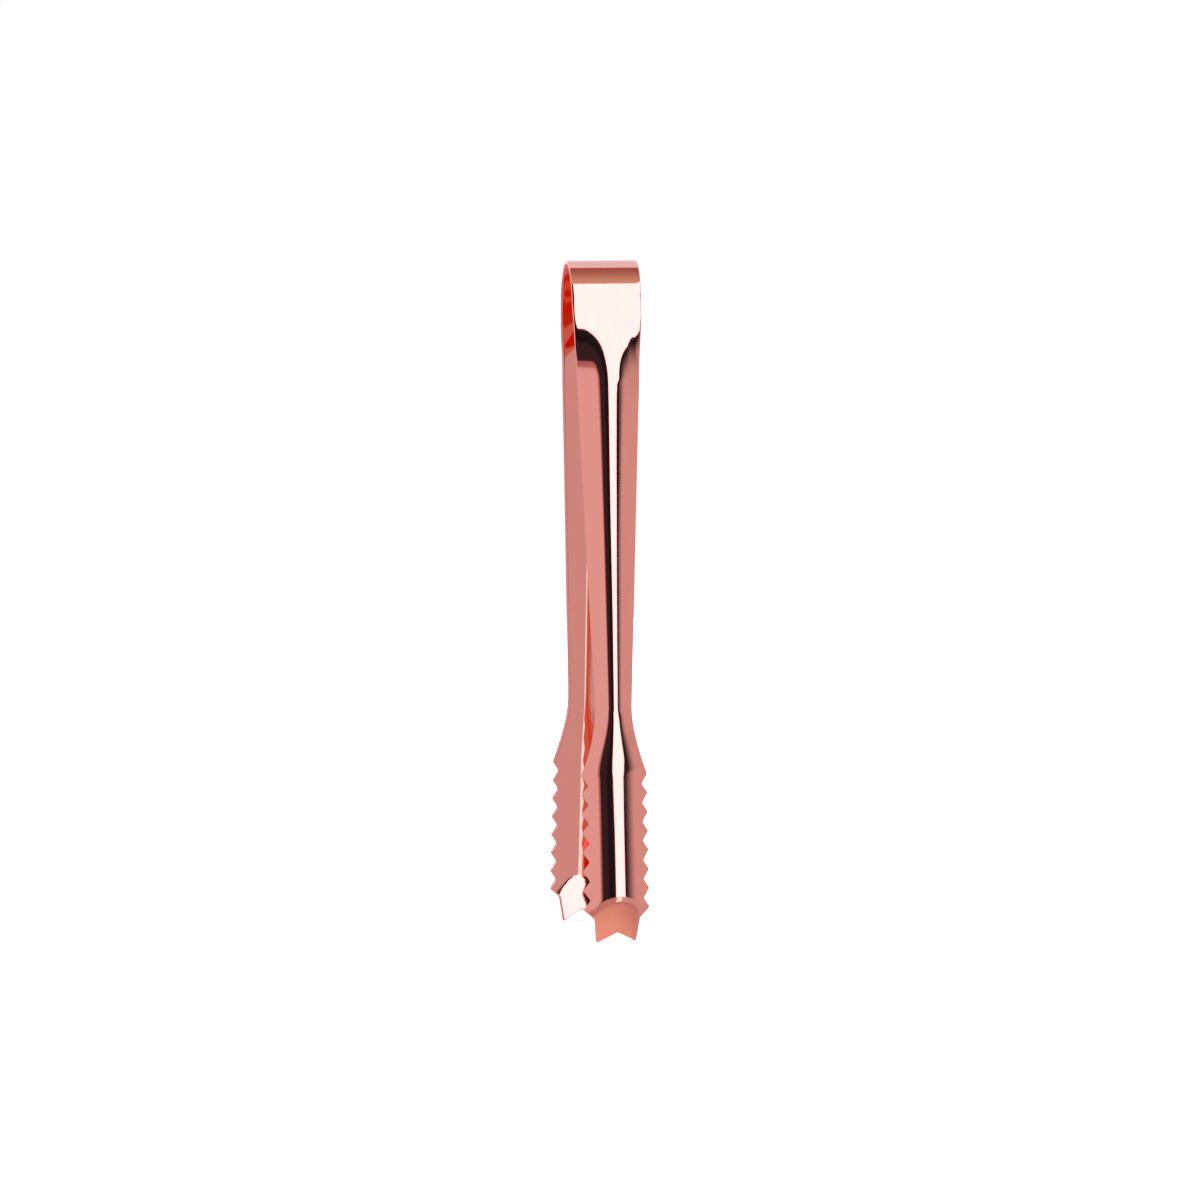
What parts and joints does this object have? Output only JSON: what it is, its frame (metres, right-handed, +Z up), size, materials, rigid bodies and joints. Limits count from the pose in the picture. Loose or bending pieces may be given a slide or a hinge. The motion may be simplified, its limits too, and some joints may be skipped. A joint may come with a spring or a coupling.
{
  "type": "ice tongs",
  "caption": "Copper-plated spring-steel ice tongs: a bent bow, two gutter-pressed arms and serrated jaws that end in prongs.",
  "frame": {"origin": "centre of the footprint of the four prongs, on the surface that they stand on", "axes": "+Z up from the prong tips to the bow, Y across the two arms with the front arm at -Y, X across the width of the strip"},
  "size_m": [0.0192, 0.0374, 0.18],
  "materials": {
    "copper_plate": "mirror-polished copper plating on stainless spring steel"
  },
  "bodies": {
    "bow": {"bow_crown": "copper_plate", "front_spring_leg": "copper_plate", "rear_spring_leg": "copper_plate"},
    "front_arm": {"front_stem": "copper_plate", "front_jaw": "copper_plate"},
    "rear_arm": {"rear_stem": "copper_plate", "rear_jaw": "copper_plate"}
  },
  "joints": [
    {"name": "front_flex", "type": "hinge", "parent": "bow", "child": "front_arm", "pos_m": [0, -0.00412, 0.17443], "axis": [1, 0, 0], "range_deg": [-3, 4.7], "stiffness_Nm_per_rad": 2.5, "deforming": ["front_spring_leg"]},
    {"name": "rear_flex", "type": "hinge", "parent": "bow", "child": "rear_arm", "pos_m": [0, 0.00412, 0.17443], "axis": [-1, 0, 0], "range_deg": [-3, 4.7], "stiffness_Nm_per_rad": 2.5, "deforming": ["rear_spring_leg"]}
  ],
  "couplings": [
    {"joint": "rear_flex", "follows": "front_flex", "ratio": 1}
  ]
}
